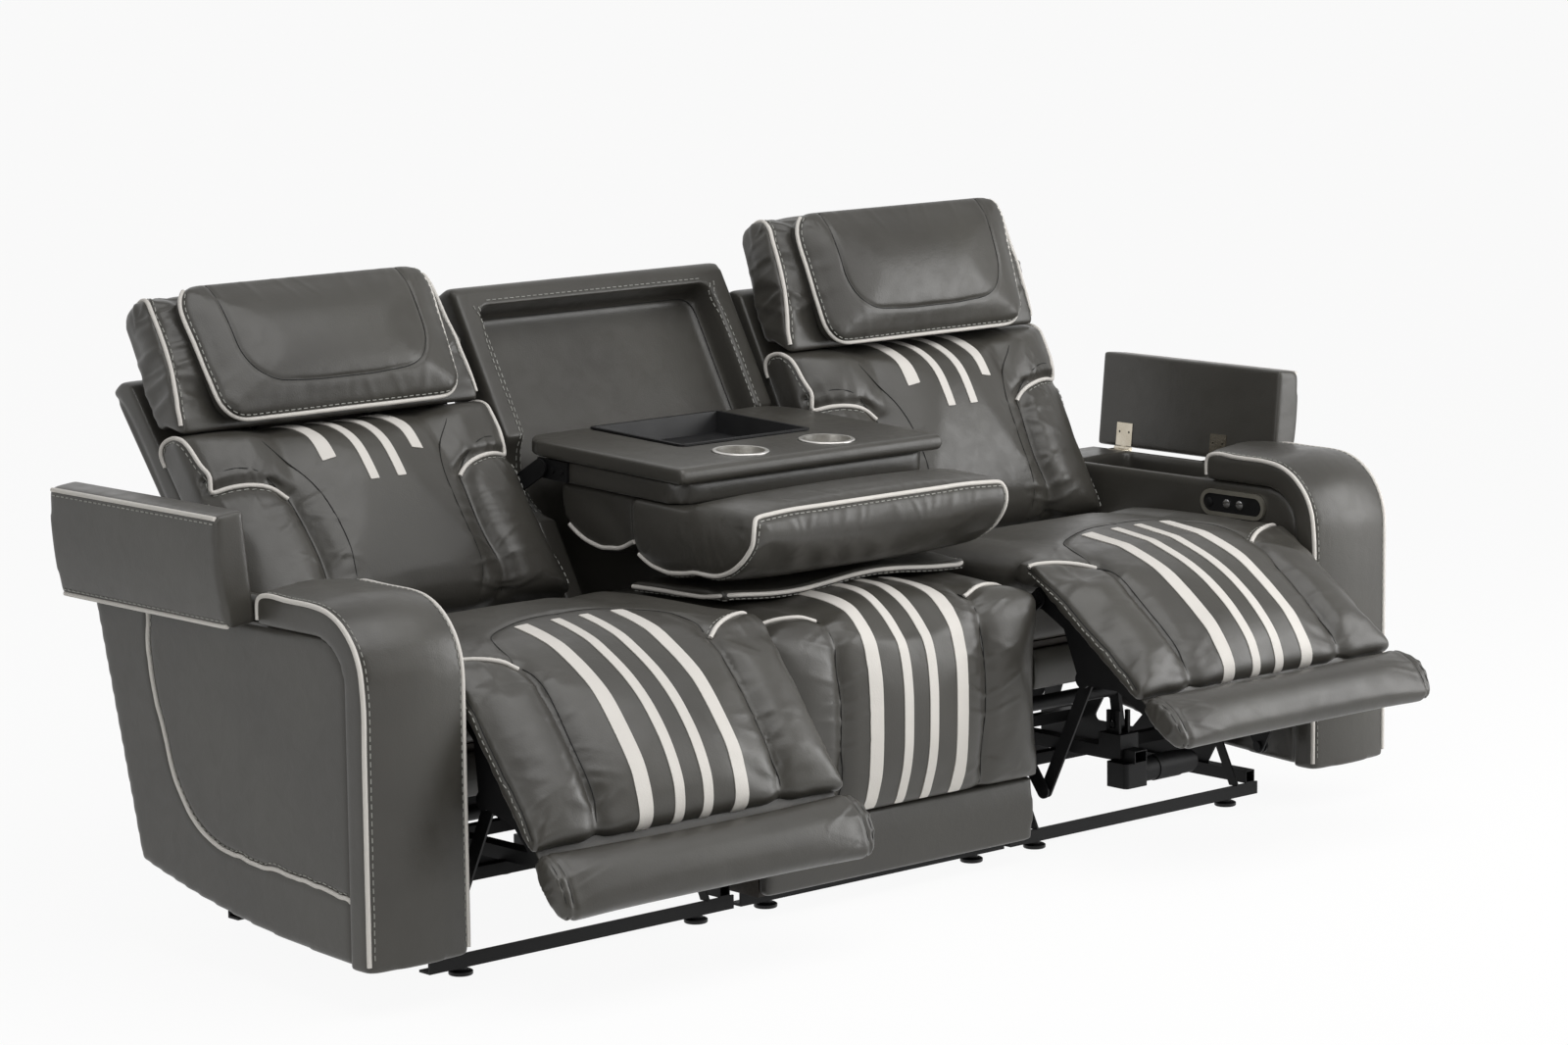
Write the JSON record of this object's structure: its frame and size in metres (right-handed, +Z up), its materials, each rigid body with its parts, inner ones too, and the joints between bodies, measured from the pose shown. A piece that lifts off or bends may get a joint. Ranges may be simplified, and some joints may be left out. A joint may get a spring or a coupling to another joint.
{
  "type": "power reclining sofa",
  "caption": "Three-seat sofa with power recliners at both ends, lift-up arm lids and a centre back that folds down into a table with cup holders.",
  "frame": {"origin": "on the floor under the middle of the sofa's bounding box in the rest pose", "axes": "+X to the sitter's left hand seen from the front as right, along the sofa; +Y to the back; +Z up"},
  "size_m": [2.3694, 1.2138, 1.034],
  "materials": {
    "upholstery": "charcoal grained leather with ivory piping",
    "black_steel": "black powder coat",
    "black_plastic": "matte black",
    "nickel": "nickel plated",
    "chrome": "polished",
    "stainless": "brushed stainless",
    "plywood": "black-stained ply"
  },
  "bodies": {
    "base": {"base_rails": "black_steel", "feet": "black_plastic", "seat_decks": "plywood", "arm_caps": "upholstery", "lid_hinge_bases": "nickel", "switch_bezels": "chrome", "switch_faces": "black_plastic", "centre_side_panels": "plywood", "centre_kick_panel": "upholstery", "centre_seat_cushion": "upholstery", "centre_filler_pad": "upholstery", "centre_back_frame": "upholstery", "table_pivot_plates": "black_steel", "actuators": "black_plastic", "mechanism_stays": "black_steel", "seat_aprons": "upholstery", "left_side_plates": "black_steel", "left_seat_cushion": "upholstery", "left_arm_body": "upholstery", "right_side_plates": "black_steel", "right_seat_cushion": "upholstery", "right_arm_body": "upholstery"},
    "table": {"table_pad": "upholstery", "table_board": "upholstery", "table_tray": "black_plastic", "cup_holders": "stainless", "table_cushions": "upholstery", "table_arms": "black_steel"},
    "left_footrest": {"left_footrest_pad": "upholstery", "left_footrest_flap": "upholstery", "left_footrest_frame": "black_steel"},
    "left_drive_link": {"left_drive_link": "black_steel"},
    "left_couplers": {"left_couplers": "black_steel"},
    "left_drive_block": {"left_drive_block": "black_plastic"},
    "left_back": {"left_back_cushion": "upholstery", "left_back_shell": "upholstery", "left_back_brackets": "black_steel"},
    "left_headrest": {"left_headrest_box": "upholstery", "left_headrest_pillow": "upholstery"},
    "left_lid": {"left_arm_lid": "upholstery", "left_lid_hinge_leaves": "nickel"},
    "left_power_button": {"left_power_button": "black_plastic"},
    "left_recline_button": {"left_recline_button": "chrome"},
    "left_headrest_button": {"left_headrest_button": "chrome"},
    "right_footrest": {"right_footrest_pad": "upholstery", "right_footrest_flap": "upholstery", "right_footrest_frame": "black_steel"},
    "right_drive_link": {"right_drive_link": "black_steel"},
    "right_couplers": {"right_couplers": "black_steel"},
    "right_drive_block": {"right_drive_block": "black_plastic"},
    "right_back": {"right_back_cushion": "upholstery", "right_back_shell": "upholstery", "right_back_brackets": "black_steel"},
    "right_headrest": {"right_headrest_box": "upholstery", "right_headrest_pillow": "upholstery"},
    "right_lid": {"right_arm_lid": "upholstery", "right_lid_hinge_leaves": "nickel"},
    "right_power_button": {"right_power_button": "black_plastic"},
    "right_recline_button": {"right_recline_button": "chrome"},
    "right_headrest_button": {"right_headrest_button": "chrome"}
  },
  "joints": [
    {"name": "table_fold", "type": "hinge", "parent": "base", "child": "table", "pos_m": [0, 0.27992, 0.668], "axis": [-1, 0, 0], "range_deg": [0, 119]},
    {"name": "left_footrest_lift", "type": "hinge", "parent": "base", "child": "left_footrest", "pos_m": [-0.614, -0.25507, 0.438], "axis": [-1, 0, 0], "range_deg": [-38, 55]},
    {"name": "left_drive_turn", "type": "hinge", "parent": "base", "child": "left_drive_link", "pos_m": [-0.614, -0.15507, 0.235], "axis": [-1, 0, 0], "range_deg": [-38.01, 55.01]},
    {"name": "left_coupler_turn", "type": "hinge", "parent": "left_footrest", "child": "left_couplers", "pos_m": [-0.614, -0.31196, 0.29209], "axis": [-1, 0, 0], "range_deg": [-55.01, 38.01]},
    {"name": "left_block_slide", "type": "slide", "parent": "base", "child": "left_drive_block", "axis": [0, -1, 0], "range_m": [-0.03689, 0.05338]},
    {"name": "left_back_recline", "type": "hinge", "parent": "base", "child": "left_back", "pos_m": [-0.614, 0.21493, 0.4], "axis": [-1, 0, 0], "range_deg": [-18, 22]},
    {"name": "left_headrest_nod", "type": "hinge", "parent": "left_back", "child": "left_headrest", "pos_m": [-0.614, 0.41962, 0.79844], "axis": [1, 0, 0], "range_deg": [-8, 20]},
    {"name": "left_lid_hinge", "type": "hinge", "parent": "base", "child": "left_lid", "pos_m": [-1.114, 0.15493, 0.555], "axis": [0, 1, 0], "range_deg": [0, 96]},
    {"name": "left_power_press", "type": "slide", "parent": "base", "child": "left_power_button", "axis": [-1, 0, 0], "range_m": [0, 0.0025], "stiffness_N_per_m": 300},
    {"name": "left_recline_press", "type": "slide", "parent": "base", "child": "left_recline_button", "axis": [-1, 0, 0], "range_m": [0, 0.0025], "stiffness_N_per_m": 300},
    {"name": "left_headrest_press", "type": "slide", "parent": "base", "child": "left_headrest_button", "axis": [-1, 0, 0], "range_m": [0, 0.0025], "stiffness_N_per_m": 300},
    {"name": "right_footrest_lift", "type": "hinge", "parent": "base", "child": "right_footrest", "pos_m": [0.614, -0.25507, 0.438], "axis": [-1, 0, 0], "range_deg": [-54, 39]},
    {"name": "right_drive_turn", "type": "hinge", "parent": "base", "child": "right_drive_link", "pos_m": [0.614, -0.15507, 0.235], "axis": [-1, 0, 0], "range_deg": [-54.01, 39.01]},
    {"name": "right_coupler_turn", "type": "hinge", "parent": "right_footrest", "child": "right_couplers", "pos_m": [0.614, -0.34998, 0.31343], "axis": [-1, 0, 0], "range_deg": [-39.01, 54.01]},
    {"name": "right_block_slide", "type": "slide", "parent": "base", "child": "right_drive_block", "axis": [0, -1, 0], "range_m": [-0.05241, 0.03786]},
    {"name": "right_back_recline", "type": "hinge", "parent": "base", "child": "right_back", "pos_m": [0.614, 0.21493, 0.4], "axis": [-1, 0, 0], "range_deg": [-8, 32]},
    {"name": "right_headrest_nod", "type": "hinge", "parent": "right_back", "child": "right_headrest", "pos_m": [0.614, 0.34732, 0.82793], "axis": [1, 0, 0], "range_deg": [-8, 20]},
    {"name": "right_lid_hinge", "type": "hinge", "parent": "base", "child": "right_lid", "pos_m": [1.114, 0.15493, 0.555], "axis": [0, -1, 0], "range_deg": [0, 96]},
    {"name": "right_power_press", "type": "slide", "parent": "base", "child": "right_power_button", "axis": [1, 0, 0], "range_m": [0, 0.0025], "stiffness_N_per_m": 300},
    {"name": "right_recline_press", "type": "slide", "parent": "base", "child": "right_recline_button", "axis": [1, 0, 0], "range_m": [0, 0.0025], "stiffness_N_per_m": 300},
    {"name": "right_headrest_press", "type": "slide", "parent": "base", "child": "right_headrest_button", "axis": [1, 0, 0], "range_m": [0, 0.0025], "stiffness_N_per_m": 300}
  ],
  "couplings": [
    {"joint": "left_drive_turn", "follows": "left_footrest_lift", "ratio": 1},
    {"joint": "left_coupler_turn", "follows": "left_footrest_lift", "ratio": -1},
    {"joint": "left_block_slide", "follows": "left_footrest_lift", "m_per_rad": 0.0556},
    {"joint": "right_drive_turn", "follows": "right_footrest_lift", "ratio": 1},
    {"joint": "right_coupler_turn", "follows": "right_footrest_lift", "ratio": -1},
    {"joint": "right_block_slide", "follows": "right_footrest_lift", "m_per_rad": 0.0556}
  ]
}
